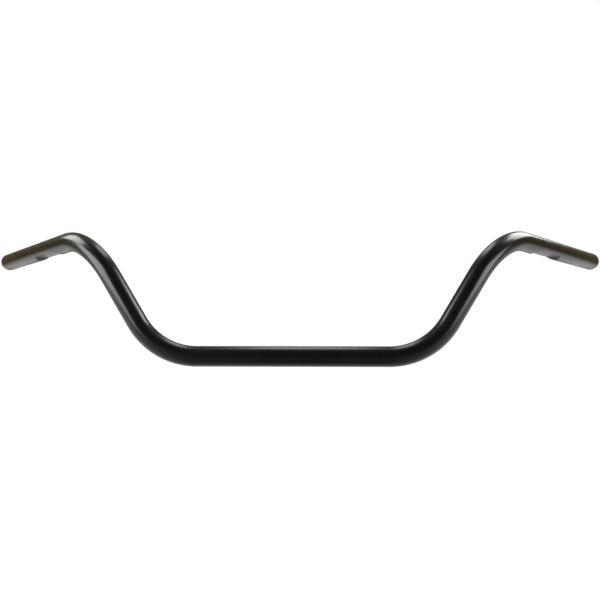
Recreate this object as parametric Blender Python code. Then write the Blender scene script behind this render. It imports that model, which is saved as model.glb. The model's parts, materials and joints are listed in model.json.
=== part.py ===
"""Bare motorcycle handlebar: one bent steel tube with two pressed cable dimples, and a press-in plug in each end.

Frame: the origin is the middle of the clamp zone, on the tube's axis. +X runs along the clamp zone to the
rider's left, which is the clutch side. +Y points back towards the rider and +Z points up.
Run it with: blender --background --python part.py
"""

import math

import bmesh
import bpy
from mathutils import Matrix, Vector

# Tube, in metres and radians.
TUBE_RADIUS = 0.0127
TUBE_WALL = 0.0025
CLAMP_STRAIGHT = 0.237
BEND_RADIUS = 0.088
RISE_ANGLE = math.radians(58.7)
RISER_STRAIGHT = 0.0677
PULLBACK_ANGLE = math.radians(45)
GRIP_STRAIGHT = 0.2261
END_CHAMFER = 0.0004

# Cable dimple. Distances run inwards from the bar's end. The angle runs round the tube from its top
# towards the front, so straight down is 180 degrees.
DIMPLE_OUTBOARD = 0.1295
DIMPLE_INBOARD = 0.203
DIMPLE_FULL_FROM = 0.142
DIMPLE_FULL_TO = 0.184
DIMPLE_DEPTH = 0.0052
DIMPLE_ANGLE = math.radians(180)
PUNCH_RADIUS = 0.100
PUNCH_REACH = math.radians(60)

# End plug: a thin flat head, and a hollow shank with fins that fill the bore.
FIT_GAP = 0.0003
HEAD_RADIUS = 0.0118
HEAD_THICKNESS = 0.0016
HEAD_CHAMFER = 0.0004
SHANK_LENGTH = 0.022
SHANK_RADIUS = 0.0086
HOLLOW_RADIUS = 0.0066
FIN_COUNT = 4
FIN_THICKNESS = 0.0012

# Mesh resolution.
TUBE_SIDES = 36
PLUG_SIDES = 40
LOWER_BEND_STEPS = 8
UPPER_BEND_STEPS = 9
DIMPLE_STEPS = 18

# Worked out from the above.
BORE_RADIUS = TUBE_RADIUS - TUBE_WALL
ALONG_CLAMP = Vector((1, 0, 0))
ALONG_RISER = Vector((math.cos(RISE_ANGLE), 0, math.sin(RISE_ANGLE)))
ALONG_GRIP = Vector((math.cos(PULLBACK_ANGLE), math.sin(PULLBACK_ANGLE), 0))


def clear_scene():
    for old in list(bpy.data.objects):
        bpy.data.objects.remove(old, do_unlink=True)


def make_material(name, colour, roughness):
    material = bpy.data.materials.new(name)
    material.use_nodes = True
    shader = material.node_tree.nodes["Principled BSDF"]
    shader.inputs["Base Color"].default_value = (*colour, 1)
    shader.inputs["Roughness"].default_value = roughness
    return material


def add_object(name, bm, material, sharp_angle):
    bmesh.ops.recalc_face_normals(bm, faces=bm.faces)
    mesh = bpy.data.meshes.new(name)
    bm.to_mesh(mesh)
    bm.free()
    mesh.shade_smooth()
    mesh.set_sharp_from_angle(angle=math.radians(sharp_angle))
    mesh.materials.append(material)
    made = bpy.data.objects.new(name, mesh)
    bpy.context.scene.collection.objects.link(made)
    return made


def bend_places(place, old_direction, new_direction, steps):
    """The places round a bend that starts at a place and turns one direction into another."""
    axis = old_direction.cross(new_direction).normalized()
    centre = place.translation + axis.cross(old_direction) * BEND_RADIUS
    turn = Matrix.Rotation(old_direction.angle(new_direction) / steps, 4, axis)
    turn = Matrix.Translation(centre) @ turn @ Matrix.Translation(-centre)
    places = []
    for _ in range(steps):
        place = turn @ place
        places.append(place)
    return places


def straight_place(place, direction, length):
    return Matrix.Translation(direction * length) @ place


def half_tube_places():
    """Places along half of the tube, from the clamp zone's middle to the bar's end. A place's own X axis
    runs along the tube, and the bends carry it round without any twist."""
    places = [Matrix.Identity(4)]
    places.append(straight_place(places[-1], ALONG_CLAMP, CLAMP_STRAIGHT / 2))
    places += bend_places(places[-1], ALONG_CLAMP, ALONG_RISER, LOWER_BEND_STEPS)
    places.append(straight_place(places[-1], ALONG_RISER, RISER_STRAIGHT))
    places += bend_places(places[-1], ALONG_RISER, ALONG_GRIP, UPPER_BEND_STEPS)
    grip_start = places[-1]
    pitch = (DIMPLE_INBOARD - DIMPLE_OUTBOARD) / DIMPLE_STEPS
    from_end = [DIMPLE_INBOARD - pitch * step for step in range(DIMPLE_STEPS + 1)]
    for distance in from_end + [END_CHAMFER, 0]:
        places.append(straight_place(grip_start, ALONG_GRIP, GRIP_STRAIGHT - distance))
    return places


def add_ring(bm, place, radius):
    angles = [2 * math.pi * side / TUBE_SIDES for side in range(TUBE_SIDES)]
    return [bm.verts.new(place @ Vector((0, radius * math.cos(a), radius * math.sin(a)))) for a in angles]


def join_rings(bm, first, second):
    for side in range(TUBE_SIDES):
        after = (side + 1) % TUBE_SIDES
        bm.faces.new((first[side], first[after], second[after], second[side]))


def dimple_depth_along(from_end):
    """The dimple's depth at its middle: a flat bottom, with a quarter of a sine wave down to it at each end."""
    if from_end < DIMPLE_FULL_FROM:
        share = (from_end - DIMPLE_OUTBOARD) / (DIMPLE_FULL_FROM - DIMPLE_OUTBOARD)
    else:
        share = min((DIMPLE_INBOARD - from_end) / (DIMPLE_INBOARD - DIMPLE_FULL_TO), 1)
    return DIMPLE_DEPTH * math.sin(math.pi / 2 * max(share, 0))


def press_in(depth, angle):
    """How far a round-nosed punch moves the wall at an angle from the dimple's middle, where it goes this deep."""
    if angle > PUNCH_REACH:
        return 0
    to_punch_axis = TUBE_RADIUS - depth + PUNCH_RADIUS
    across = to_punch_axis * math.sin(angle)
    punch_face = to_punch_axis * math.cos(angle) - math.sqrt(PUNCH_RADIUS**2 - across**2)
    return max(TUBE_RADIUS - punch_face, 0)


def press_dimple(bm, bar_end):
    """Moves both skins of the grip's wall inwards, as a punch does."""
    forward = ALONG_GRIP.cross(Vector((0, 0, 1)))
    middle = Vector((0, 0, math.cos(DIMPLE_ANGLE))) + forward * math.sin(DIMPLE_ANGLE)
    for vert in bm.verts:
        from_end = (bar_end - vert.co).dot(ALONG_GRIP)
        if DIMPLE_OUTBOARD < from_end < DIMPLE_INBOARD:
            outward = vert.co - (bar_end - ALONG_GRIP * from_end)
            depth = press_in(dimple_depth_along(from_end), outward.angle(middle))
            vert.co -= outward.normalized() * depth


def make_tube(places, material):
    """Half of the tube, open at the clamp zone's middle, and mirrored there."""
    bm = bmesh.new()
    outer = [add_ring(bm, place, TUBE_RADIUS) for place in places[:-1]]
    outer.append(add_ring(bm, places[-1], TUBE_RADIUS - END_CHAMFER))
    bore = [add_ring(bm, place, BORE_RADIUS) for place in places[:-1]]
    bore.append(add_ring(bm, places[-1], BORE_RADIUS + END_CHAMFER))
    for skin in (outer, bore):
        for first, second in zip(skin, skin[1:]):
            join_rings(bm, first, second)
    join_rings(bm, outer[-1], bore[-1])
    press_dimple(bm, places[-1].translation)
    tube = add_object("handlebar_tube", bm, material, sharp_angle=38)
    mirror = tube.modifiers.new("throttle_side", "MIRROR")
    mirror.merge_threshold = 0.00002


def plug_profile():
    """(radius, height) points of half of the plug's section. The head's underside is at height 0."""
    fin_radius = BORE_RADIUS - FIT_GAP
    points = [(0, HEAD_THICKNESS), (HEAD_RADIUS - HEAD_CHAMFER, HEAD_THICKNESS)]
    points += [(HEAD_RADIUS, HEAD_THICKNESS - HEAD_CHAMFER), (HEAD_RADIUS, 0), (SHANK_RADIUS, 0)]
    for fin in range(FIN_COUNT):
        top = -SHANK_LENGTH * (fin + 1) / (FIN_COUNT + 1)
        foot = top - FIN_THICKNESS
        points += [(SHANK_RADIUS, top), (fin_radius, top), (fin_radius - FIT_GAP, foot), (SHANK_RADIUS, foot)]
    points += [(SHANK_RADIUS, -SHANK_LENGTH), (HOLLOW_RADIUS, -SHANK_LENGTH), (HOLLOW_RADIUS, 0), (0, 0)]
    return points


def make_plug(name, side, bar_end, material):
    """Turns a plug about its own Z axis, and points that axis out of the bar. Side is 1 or -1 along X."""
    bm = bmesh.new()
    verts = [bm.verts.new((radius, 0, height)) for radius, height in plug_profile()]
    edges = [bm.edges.new(pair) for pair in zip(verts, verts[1:])]
    turned = {"cent": (0, 0, 0), "axis": (0, 0, 1), "angle": 2 * math.pi, "steps": PLUG_SIDES}
    bmesh.ops.spin(bm, geom=verts + edges, **turned)
    bmesh.ops.remove_doubles(bm, verts=bm.verts, dist=0.00002)
    plug = add_object(name, bm, material, sharp_angle=30)
    to_side = Vector((side, 1, 1))
    outward = ALONG_GRIP * to_side
    plug.rotation_mode = "QUATERNION"
    plug.rotation_quaternion = outward.to_track_quat("Z", "Y")
    plug.location = bar_end * to_side + outward * FIT_GAP


def main():
    clear_scene()
    coat = make_material("black_powder_coat", (0.012, 0.012, 0.013), 0.3)
    plastic = make_material("black_plastic", (0.02, 0.02, 0.02), 0.55)
    places = half_tube_places()
    make_tube(places, coat)
    bar_end = places[-1].translation
    make_plug("clutch_side_end_plug", 1, bar_end, plastic)
    make_plug("throttle_side_end_plug", -1, bar_end, plastic)


main()
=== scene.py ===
"""Looks of a bare motorcycle handlebar: a black powder-coated steel tube with a cable dimple under each grip,
and a moulded plastic plug in each end. Metres, +X to the rider's left, +Y towards the rider, +Z up."""

import json
import math

import bmesh
import bpy
from mathutils import Matrix, Vector


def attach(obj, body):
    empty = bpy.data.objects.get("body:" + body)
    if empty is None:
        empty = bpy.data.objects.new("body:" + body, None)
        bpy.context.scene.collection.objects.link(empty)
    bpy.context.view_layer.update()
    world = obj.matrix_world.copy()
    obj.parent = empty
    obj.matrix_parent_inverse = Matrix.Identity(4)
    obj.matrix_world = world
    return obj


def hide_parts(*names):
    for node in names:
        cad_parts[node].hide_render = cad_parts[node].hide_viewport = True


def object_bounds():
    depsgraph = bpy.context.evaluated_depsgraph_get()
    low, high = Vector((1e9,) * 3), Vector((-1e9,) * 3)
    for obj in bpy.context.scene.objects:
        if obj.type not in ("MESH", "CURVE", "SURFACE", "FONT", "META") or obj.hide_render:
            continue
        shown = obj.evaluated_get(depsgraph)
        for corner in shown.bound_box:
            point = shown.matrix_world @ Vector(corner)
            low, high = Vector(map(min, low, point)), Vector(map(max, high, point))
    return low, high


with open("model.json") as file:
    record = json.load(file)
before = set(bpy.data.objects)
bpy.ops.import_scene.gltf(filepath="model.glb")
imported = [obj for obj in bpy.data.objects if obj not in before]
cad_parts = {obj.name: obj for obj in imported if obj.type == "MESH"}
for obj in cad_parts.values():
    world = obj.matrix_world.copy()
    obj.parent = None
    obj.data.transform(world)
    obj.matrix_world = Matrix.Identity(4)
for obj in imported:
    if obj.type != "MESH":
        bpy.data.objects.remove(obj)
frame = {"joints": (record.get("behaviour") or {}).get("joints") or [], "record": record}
CAD_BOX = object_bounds()
MOUNTS = {mount["name"]: mount for mount in frame["record"]["mounts"]}
PULL = {joint["name"]: Vector(joint["axis"]) for joint in frame["joints"]}

# Sizes that the frame gives.
TUBE_RADIUS = MOUNTS["clamp_zone"]["dims"]["r_mm"] / 1000
CLAMP_STRAIGHT = MOUNTS["clamp_zone"]["dims"]["length_mm"] / 1000
ALONG_CLAMP = Vector(MOUNTS["clamp_zone"]["axis"])
ALONG_GRIP = PULL["clutch_side_plug_pull"].normalized()
PLUG_FACE = Vector(MOUNTS["clutch_side_bar_end"]["pos_m"])

# The tube, as the CAD has it.
TUBE_WALL = 0.0025
BEND_RADIUS = 0.088
RISE_ANGLE = math.radians(58.7)
RISER_STRAIGHT = 0.0677
GRIP_STRAIGHT = 0.2261
DIMPLE_OUTBOARD = 0.1295
DIMPLE_INBOARD = 0.203
DIMPLE_FULL_FROM = 0.142
DIMPLE_FULL_TO = 0.184
DIMPLE_DEPTH = 0.0052
DIMPLE_ANGLE = math.radians(180)
PUNCH_RADIUS = 0.100
PUNCH_REACH = math.radians(60)
BORE_RADIUS = TUBE_RADIUS - TUBE_WALL
ALONG_RISER = Vector((math.cos(RISE_ANGLE), 0, math.sin(RISE_ANGLE)))

# What the fine tube adds: deburred edges, and a lip that the punch leaves round.
RIM_ROUND = 0.0006
MOUTH_ROUND = 0.0004
ROUND_STEPS = 4
LIP_SOFTNESS = 0.0007
TUBE_SIDES = 144
BEND_STEPS = 40
DIMPLE_STEPS = 70

# The end plug, as the CAD has it, with rounded edges.
FIT_GAP = 0.0003
HEAD_RADIUS = 0.0118
HEAD_THICKNESS = 0.0016
HEAD_ROUND = 0.0004
GROOVE_INSIDE = 0.0082
GROOVE_OUTSIDE = 0.0091
GROOVE_DEPTH = 0.00022
SHANK_LENGTH = 0.022
SHANK_RADIUS = 0.0086
HOLLOW_RADIUS = 0.0066
FIN_COUNT = 4
FIN_THICKNESS = 0.0012
PLUG_SIDES = 96


def new_object(name, bm, materials, sharp_angle):
    bmesh.ops.recalc_face_normals(bm, faces=bm.faces)
    mesh = bpy.data.meshes.new(name)
    bm.to_mesh(mesh)
    bm.free()
    mesh.shade_smooth()
    mesh.set_sharp_from_angle(angle=math.radians(sharp_angle))
    for material in materials:
        mesh.materials.append(material)
    made = bpy.data.objects.new(name, mesh)
    bpy.context.scene.collection.objects.link(made)
    return made


# ---------------------------------------------------------------- tube


def bend_places(place, old_direction, new_direction):
    """The places round a bend that starts at a place and turns one direction into another."""
    axis = old_direction.cross(new_direction).normalized()
    centre = place.translation + axis.cross(old_direction) * BEND_RADIUS
    turn = Matrix.Rotation(old_direction.angle(new_direction) / BEND_STEPS, 4, axis)
    turn = Matrix.Translation(centre) @ turn @ Matrix.Translation(-centre)
    places = []
    for _ in range(BEND_STEPS):
        place = turn @ place
        places.append(place)
    return places


def straight_place(place, direction, length):
    return Matrix.Translation(direction * length) @ place


def half_tube_places():
    """Places along half of the tube, from the clamp zone's middle to where the rim's rounding starts."""
    places = [Matrix.Identity(4)]
    places.append(straight_place(places[-1], ALONG_CLAMP, CLAMP_STRAIGHT / 2))
    places += bend_places(places[-1], ALONG_CLAMP, ALONG_RISER)
    places.append(straight_place(places[-1], ALONG_RISER, RISER_STRAIGHT))
    places += bend_places(places[-1], ALONG_RISER, ALONG_GRIP)
    grip_start = places[-1]
    pitch = (DIMPLE_INBOARD - DIMPLE_OUTBOARD) / DIMPLE_STEPS
    from_end = [DIMPLE_INBOARD - pitch * step for step in range(DIMPLE_STEPS + 1)]
    for distance in from_end:
        places.append(straight_place(grip_start, ALONG_GRIP, GRIP_STRAIGHT - distance))
    return places, straight_place(grip_start, ALONG_GRIP, GRIP_STRAIGHT)


def add_ring(bm, place, radius, along=0):
    angles = [2 * math.pi * side / TUBE_SIDES for side in range(TUBE_SIDES)]
    return [bm.verts.new(place @ Vector((along, radius * math.cos(a), radius * math.sin(a)))) for a in angles]


def join_rings(bm, first, second, material_index=0):
    for side in range(TUBE_SIDES):
        after = (side + 1) % TUBE_SIDES
        face = bm.faces.new((first[side], first[after], second[after], second[side]))
        face.material_index = material_index


def rounded_edge(radius, inwards, round_radius):
    """(radius, along) points round a deburred edge of the cut end, from the skin to the end face."""
    points = []
    for step in range(ROUND_STEPS + 1):
        angle = math.pi / 2 * step / ROUND_STEPS
        across = round_radius * (1 - math.cos(angle))
        points.append((radius + inwards * across, -round_radius * (1 - math.sin(angle))))
    return points


def dimple_depth_along(from_end):
    """The dimple's depth at its middle: a flat bottom, with a quarter of a sine wave down to it at each end."""
    if from_end < DIMPLE_FULL_FROM:
        share = (from_end - DIMPLE_OUTBOARD) / (DIMPLE_FULL_FROM - DIMPLE_OUTBOARD)
    else:
        share = min((DIMPLE_INBOARD - from_end) / (DIMPLE_INBOARD - DIMPLE_FULL_TO), 1)
    return DIMPLE_DEPTH * math.sin(math.pi / 2 * max(share, 0))


def press_in(depth, angle):
    """How far a round-nosed punch moves the wall at an angle from the dimple's middle, where it goes this deep.
    The lip is rounded off where the punch's face leaves the tube."""
    if angle > PUNCH_REACH or depth <= 0:
        return 0
    to_punch_axis = TUBE_RADIUS - depth + PUNCH_RADIUS
    across = to_punch_axis * math.sin(angle)
    punch_face = to_punch_axis * math.cos(angle) - math.sqrt(PUNCH_RADIUS**2 - across**2)
    pressed = TUBE_RADIUS - punch_face
    softness = min(LIP_SOFTNESS, depth / 2)
    if pressed > softness:
        return pressed
    return max(pressed + softness, 0) ** 2 / (4 * softness)


def press_dimple(bm, bar_end):
    forward = ALONG_GRIP.cross(Vector((0, 0, 1)))
    middle = Vector((0, 0, math.cos(DIMPLE_ANGLE))) + forward * math.sin(DIMPLE_ANGLE)
    for vert in bm.verts:
        from_end = (bar_end - vert.co).dot(ALONG_GRIP)
        if DIMPLE_OUTBOARD < from_end < DIMPLE_INBOARD:
            outward = vert.co - (bar_end - ALONG_GRIP * from_end)
            depth = press_in(dimple_depth_along(from_end), outward.angle(middle))
            vert.co -= outward.normalized() * depth


def make_tube(coat, bore_steel):
    """Half of the tube, open at the clamp zone's middle, and mirrored there."""
    bm = bmesh.new()
    places, end_place = half_tube_places()
    outer = [add_ring(bm, place, TUBE_RADIUS) for place in places]
    outer += [add_ring(bm, end_place, *point) for point in rounded_edge(TUBE_RADIUS, -1, RIM_ROUND)]
    bore = [add_ring(bm, place, BORE_RADIUS) for place in places]
    bore += [add_ring(bm, end_place, *point) for point in rounded_edge(BORE_RADIUS, 1, MOUTH_ROUND)]
    for skin, material_index in ((outer, 0), (bore, 1)):
        for first, second in zip(skin, skin[1:]):
            join_rings(bm, first, second, material_index)
    join_rings(bm, outer[-1], bore[-1])
    press_dimple(bm, end_place.translation)
    tube = new_object("powder_coated_tube", bm, [coat, bore_steel], sharp_angle=60)
    mirror = tube.modifiers.new("throttle_side", "MIRROR")
    mirror.merge_threshold = 0.00002
    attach(tube, "bar")
    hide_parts("handlebar_tube")


# ---------------------------------------------------------------- end plugs


def arc(radius, height, round_radius, start, end, steps=4):
    """Points of a small arc in the plug's section, about (radius, height), with angles in degrees."""
    angles = [math.radians(start + (end - start) * step / steps) for step in range(steps + 1)]
    return [(radius + round_radius * math.cos(a), height + round_radius * math.sin(a)) for a in angles]


def plug_profile():
    """(radius, height) points of half of the plug's section. The head's underside is at height 0."""
    fin_radius = BORE_RADIUS - FIT_GAP
    groove_foot = HEAD_THICKNESS - GROOVE_DEPTH
    points = [(0, HEAD_THICKNESS), (GROOVE_INSIDE, HEAD_THICKNESS)]
    points += [(GROOVE_INSIDE + 0.0002, groove_foot), (GROOVE_OUTSIDE - 0.0002, groove_foot)]
    points += [(GROOVE_OUTSIDE, HEAD_THICKNESS)]
    points += arc(HEAD_RADIUS - HEAD_ROUND, HEAD_THICKNESS - HEAD_ROUND, HEAD_ROUND, 90, 0)
    points += [(HEAD_RADIUS, 0.0001), (HEAD_RADIUS - 0.0001, 0), (SHANK_RADIUS + 0.0003, 0)]
    points += [(SHANK_RADIUS, -0.0003)]
    for fin in range(FIN_COUNT):
        top = -SHANK_LENGTH * (fin + 1) / (FIN_COUNT + 1)
        foot = top - FIN_THICKNESS
        points += [(SHANK_RADIUS, top + 0.0002), (SHANK_RADIUS + 0.0002, top)]
        points += [(fin_radius - 0.0002, top), (fin_radius, top - 0.0002)]
        points += [(fin_radius - FIT_GAP, foot + 0.0001), (fin_radius - FIT_GAP - 0.0001, foot)]
        points += [(SHANK_RADIUS + 0.0002, foot), (SHANK_RADIUS, foot - 0.0002)]
    points += arc(SHANK_RADIUS - 0.0004, -SHANK_LENGTH + 0.0004, 0.0004, 0, -90)
    points += arc(HOLLOW_RADIUS + 0.0004, -SHANK_LENGTH + 0.0004, 0.0004, -90, -180)
    points += [(HOLLOW_RADIUS, -0.0008), (HOLLOW_RADIUS - 0.0008, 0), (0, 0)]
    return points


def make_plug(name, side, body, node, plastic):
    bm = bmesh.new()
    verts = [bm.verts.new((radius, 0, height)) for radius, height in plug_profile()]
    edges = [bm.edges.new(pair) for pair in zip(verts, verts[1:])]
    turned = {"cent": (0, 0, 0), "axis": (0, 0, 1), "angle": 2 * math.pi, "steps": PLUG_SIDES}
    bmesh.ops.spin(bm, geom=verts + edges, **turned)
    bmesh.ops.remove_doubles(bm, verts=bm.verts, dist=0.00002)
    plug = new_object(name, bm, [plastic], sharp_angle=35)
    to_side = Vector((side, 1, 1))
    outward = ALONG_GRIP * to_side
    plug.rotation_mode = "QUATERNION"
    plug.rotation_quaternion = outward.to_track_quat("Z", "Y")
    plug.location = PLUG_FACE * to_side - outward * HEAD_THICKNESS
    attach(plug, body)
    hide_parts(node)


# ---------------------------------------------------------------- materials


class Nodes:
    """A material's node tree, with short calls for adding and linking nodes."""

    def __init__(self, name):
        self.material = bpy.data.materials.new(name)
        self.material.use_nodes = True
        self.tree = self.material.node_tree
        self.shader = self.tree.nodes["Principled BSDF"]

    def add(self, kind, **inputs):
        node = self.tree.nodes.new(kind)
        for name, value in inputs.items():
            node.inputs[name.replace("_", " ")].default_value = value
        return node

    def link(self, output, target):
        self.tree.links.new(output, target)

    def noise(self, scale, detail=2.0, roughness=0.5):
        node = self.add("ShaderNodeTexNoise", Scale=scale, Detail=detail, Roughness=roughness)
        where = self.add("ShaderNodeTexCoord")
        self.link(where.outputs["Object"], node.inputs["Vector"])
        return node.outputs["Fac"]

    def remap(self, value, low, high, to_low, to_high):
        node = self.add("ShaderNodeMapRange")
        node.inputs["From Min"].default_value = low
        node.inputs["From Max"].default_value = high
        node.inputs["To Min"].default_value = to_low
        node.inputs["To Max"].default_value = to_high
        self.link(value, node.inputs["Value"])
        return node.outputs["Result"]

    def bump(self, height, strength, distance, after=None):
        node = self.add("ShaderNodeBump", Strength=strength, Distance=distance)
        self.link(height, node.inputs["Height"])
        if after is not None:
            self.link(after, node.inputs["Normal"])
        return node.outputs["Normal"]


def powder_coat():
    """Smooth satin black coat: a faint orange peel, and a roughness that wanders a little."""
    nodes = Nodes("black_powder_coat")
    nodes.shader.inputs["Base Color"].default_value = (0.002, 0.002, 0.002, 1)
    wander = nodes.remap(nodes.noise(45, 4), 0.3, 0.7, 0.22, 0.27)
    nodes.link(wander, nodes.shader.inputs["Roughness"])
    peel = nodes.bump(nodes.noise(420, 2), 0.05, 0.00003)
    nodes.link(peel, nodes.shader.inputs["Normal"])
    return nodes.material


def bore_steel():
    """The bore: drawn steel, dull and a little brown."""
    nodes = Nodes("bare_bore_steel")
    nodes.shader.inputs["Base Color"].default_value = (0.16, 0.15, 0.14, 1)
    nodes.shader.inputs["Metallic"].default_value = 1.0
    nodes.link(nodes.remap(nodes.noise(300, 5), 0.3, 0.7, 0.35, 0.6), nodes.shader.inputs["Roughness"])
    return nodes.material


def plug_plastic():
    """Moulded black plastic with a fine spark-eroded grain."""
    nodes = Nodes("moulded_black_plastic")
    nodes.shader.inputs["Base Color"].default_value = (0.014, 0.014, 0.015, 1)
    nodes.link(nodes.remap(nodes.noise(900, 3), 0.3, 0.7, 0.45, 0.62), nodes.shader.inputs["Roughness"])
    nodes.link(nodes.bump(nodes.noise(5200, 2), 0.25, 0.00012), nodes.shader.inputs["Normal"])
    return nodes.material


# ---------------------------------------------------------------- studio

STUDIO_CENTRE = Vector((0, 0.05, 0.08))
# name: azimuth from +Y towards +X, elevation, distance, width, height (degrees and metres), radiance
SOFTBOXES = {
    "front_left": (-120, 5, 0.8, 0.7, 0.4, 6.0),
    "front_right": (120, 0, 0.8, 0.5, 0.3, 5.0),
    "side_left": (-90, 35, 1.2, 0.6, 0.6, 7.0),
    "side_right": (75, 40, 1.2, 0.8, 0.6, 8.0),
    "overhead": (0, 75, 1.2, 0.4, 1.0, 3.0),
}
# The room: (elevation in degrees, colour) from straight down to straight up. A pale table, brown walls and a
# grey ceiling, and it is dark behind the camera.
UNDER_TABLE = (0.4, 0.4, 0.4)
TABLE = (1.2, 1.2, 1.2)
WALL = (0.2, 0.15, 0.08)
CEILING = (0.5, 0.5, 0.5)
ROOM = ((-90, UNDER_TABLE), (-30, TABLE), (-15, TABLE), (-5, WALL), (30, WALL), (90, CEILING))
CAMERA_SIDE = (0.08, 0.08, 0.08)


def add_softbox(name, azimuth, elevation, distance, width, height, radiance):
    light = bpy.data.lights.new(name, "AREA")
    light.shape = "RECTANGLE"
    light.size = width
    light.size_y = height
    light.energy = radiance * math.pi * width * height
    a, e = math.radians(azimuth), math.radians(elevation)
    towards = Vector((math.sin(a) * math.cos(e), math.cos(a) * math.cos(e), math.sin(e)))
    lamp = bpy.data.objects.new(name, light)
    lamp.location = STUDIO_CENTRE + towards * distance
    lamp.rotation_mode = "QUATERNION"
    lamp.rotation_quaternion = towards.to_track_quat("Z", "Y")
    lamp.visible_camera = False
    bpy.context.scene.collection.objects.link(lamp)
    return lamp


def ramp(tree, value, stops):
    node = tree.nodes.new("ShaderNodeValToRGB")
    elements = node.color_ramp.elements
    while len(elements) > 1:
        elements.remove(elements[-1])
    for number, (position, level) in enumerate(stops):
        element = elements[0] if number == 0 else elements.new(position)
        element.position = position
        element.color = (*level, 1)
    tree.links.new(value, node.inputs["Fac"])
    return node.outputs["Color"]


def calculate(tree, operation, *values):
    node = tree.nodes.new("ShaderNodeMath")
    node.operation = operation
    for value, socket in zip(values, node.inputs):
        tree.links.new(value, socket)
    return node.outputs[0]


def share_of(tree, value, low, high):
    node = tree.nodes.new("ShaderNodeMapRange")
    node.inputs["From Min"].default_value = low
    node.inputs["From Max"].default_value = high
    tree.links.new(value, node.inputs["Value"])
    return node.outputs["Result"]


def make_world():
    """The studio's room: the camera sees plain white, and the object is lit by a dim room."""
    world = bpy.data.worlds.new("studio")
    bpy.context.scene.world = world
    world.use_nodes = True
    tree = world.node_tree
    tree.nodes.clear()
    link = tree.links.new
    where = tree.nodes.new("ShaderNodeTexCoord")
    split = tree.nodes.new("ShaderNodeSeparateXYZ")
    link(where.outputs["Generated"], split.inputs[0])
    elevation = calculate(tree, "ARCSINE", split.outputs["Z"])
    height = share_of(tree, elevation, -math.pi / 2, math.pi / 2)
    from_back = calculate(tree, "ARCTAN2", calculate(tree, "ABSOLUTE", split.outputs["X"]), split.outputs["Y"])
    around = tree.nodes.new("ShaderNodeMix")
    around.data_type = "RGBA"
    link(share_of(tree, from_back, math.pi / 2, math.pi), around.inputs["Factor"])
    link(ramp(tree, height, [((e + 90) / 180, level) for e, level in ROOM]), around.inputs["A"])
    around.inputs["B"].default_value = (*CAMERA_SIDE, 1)
    room = tree.nodes.new("ShaderNodeBackground")
    link(around.outputs["Result"], room.inputs["Color"])
    backdrop = tree.nodes.new("ShaderNodeBackground")
    backdrop.inputs["Color"].default_value = (1, 1, 1, 1)
    ray = tree.nodes.new("ShaderNodeLightPath")
    choose = tree.nodes.new("ShaderNodeMixShader")
    link(ray.outputs["Is Camera Ray"], choose.inputs["Fac"])
    link(room.outputs[0], choose.inputs[1])
    link(backdrop.outputs[0], choose.inputs[2])
    out = tree.nodes.new("ShaderNodeOutputWorld")
    link(choose.outputs[0], out.inputs["Surface"])


def make_floor():
    """A plain pale floor that the clamp zone rests on."""
    bm = bmesh.new()
    bmesh.ops.create_circle(bm, cap_ends=True, radius=30, segments=96)
    nodes = Nodes("pale_floor")
    nodes.shader.inputs["Base Color"].default_value = (0.12, 0.12, 0.12, 1)
    nodes.shader.inputs["Roughness"].default_value = 0.9
    nodes.shader.inputs["Specular IOR Level"].default_value = 0
    nodes.shader.inputs["Emission Color"].default_value = (1, 1, 1, 1)
    nodes.shader.inputs["Emission Strength"].default_value = 0.95
    floor = new_object("floor", bm, [nodes.material], sharp_angle=30)
    floor.location.z = CAD_BOX[0].z - 0.0003
    floor.visible_glossy = False
    floor.visible_diffuse = False
    floor.visible_shadow = False


# The camera, low in front of the clamp zone and tilted up a little. The lens is in mm on a 36 mm sensor.
CAMERA_PLACE = (0.02437, -0.74302, -0.00592)
CAMERA_LENS = 36.08
CAMERA_TILT = math.radians(5.829)
CAMERA_HEADING = math.radians(1.196)
CAMERA_ROLL = math.radians(0.128)


def make_camera():
    camera = bpy.data.objects.new("camera", bpy.data.cameras.new("camera"))
    camera.data.sensor_width = 36
    camera.data.lens = CAMERA_LENS
    camera.data.clip_start = 0.005
    camera.location = CAMERA_PLACE
    heading = Matrix.Rotation(CAMERA_HEADING, 3, "Z")
    tilt = Matrix.Rotation(math.radians(90) + CAMERA_TILT, 3, "X")
    roll = Matrix.Rotation(CAMERA_ROLL, 3, "Z")
    camera.rotation_euler = (heading @ tilt @ roll).to_euler()
    bpy.context.scene.collection.objects.link(camera)
    bpy.context.scene.camera = camera


def main():
    make_camera()
    make_tube(powder_coat(), bore_steel())
    plastic = plug_plastic()
    make_plug("clutch_side_plug_fine", 1, "clutch_side_plug", "clutch_side_end_plug", plastic)
    make_plug("throttle_side_plug_fine", -1, "throttle_side_plug", "throttle_side_end_plug", plastic)
    make_world()
    make_floor()
    for name, facts in SOFTBOXES.items():
        add_softbox(name, *facts)
    bpy.context.scene.view_settings.view_transform = "Standard"
    bpy.context.scene.cycles.use_denoising = True
    bpy.context.scene.cycles.denoising_input_passes = "RGB"


main()
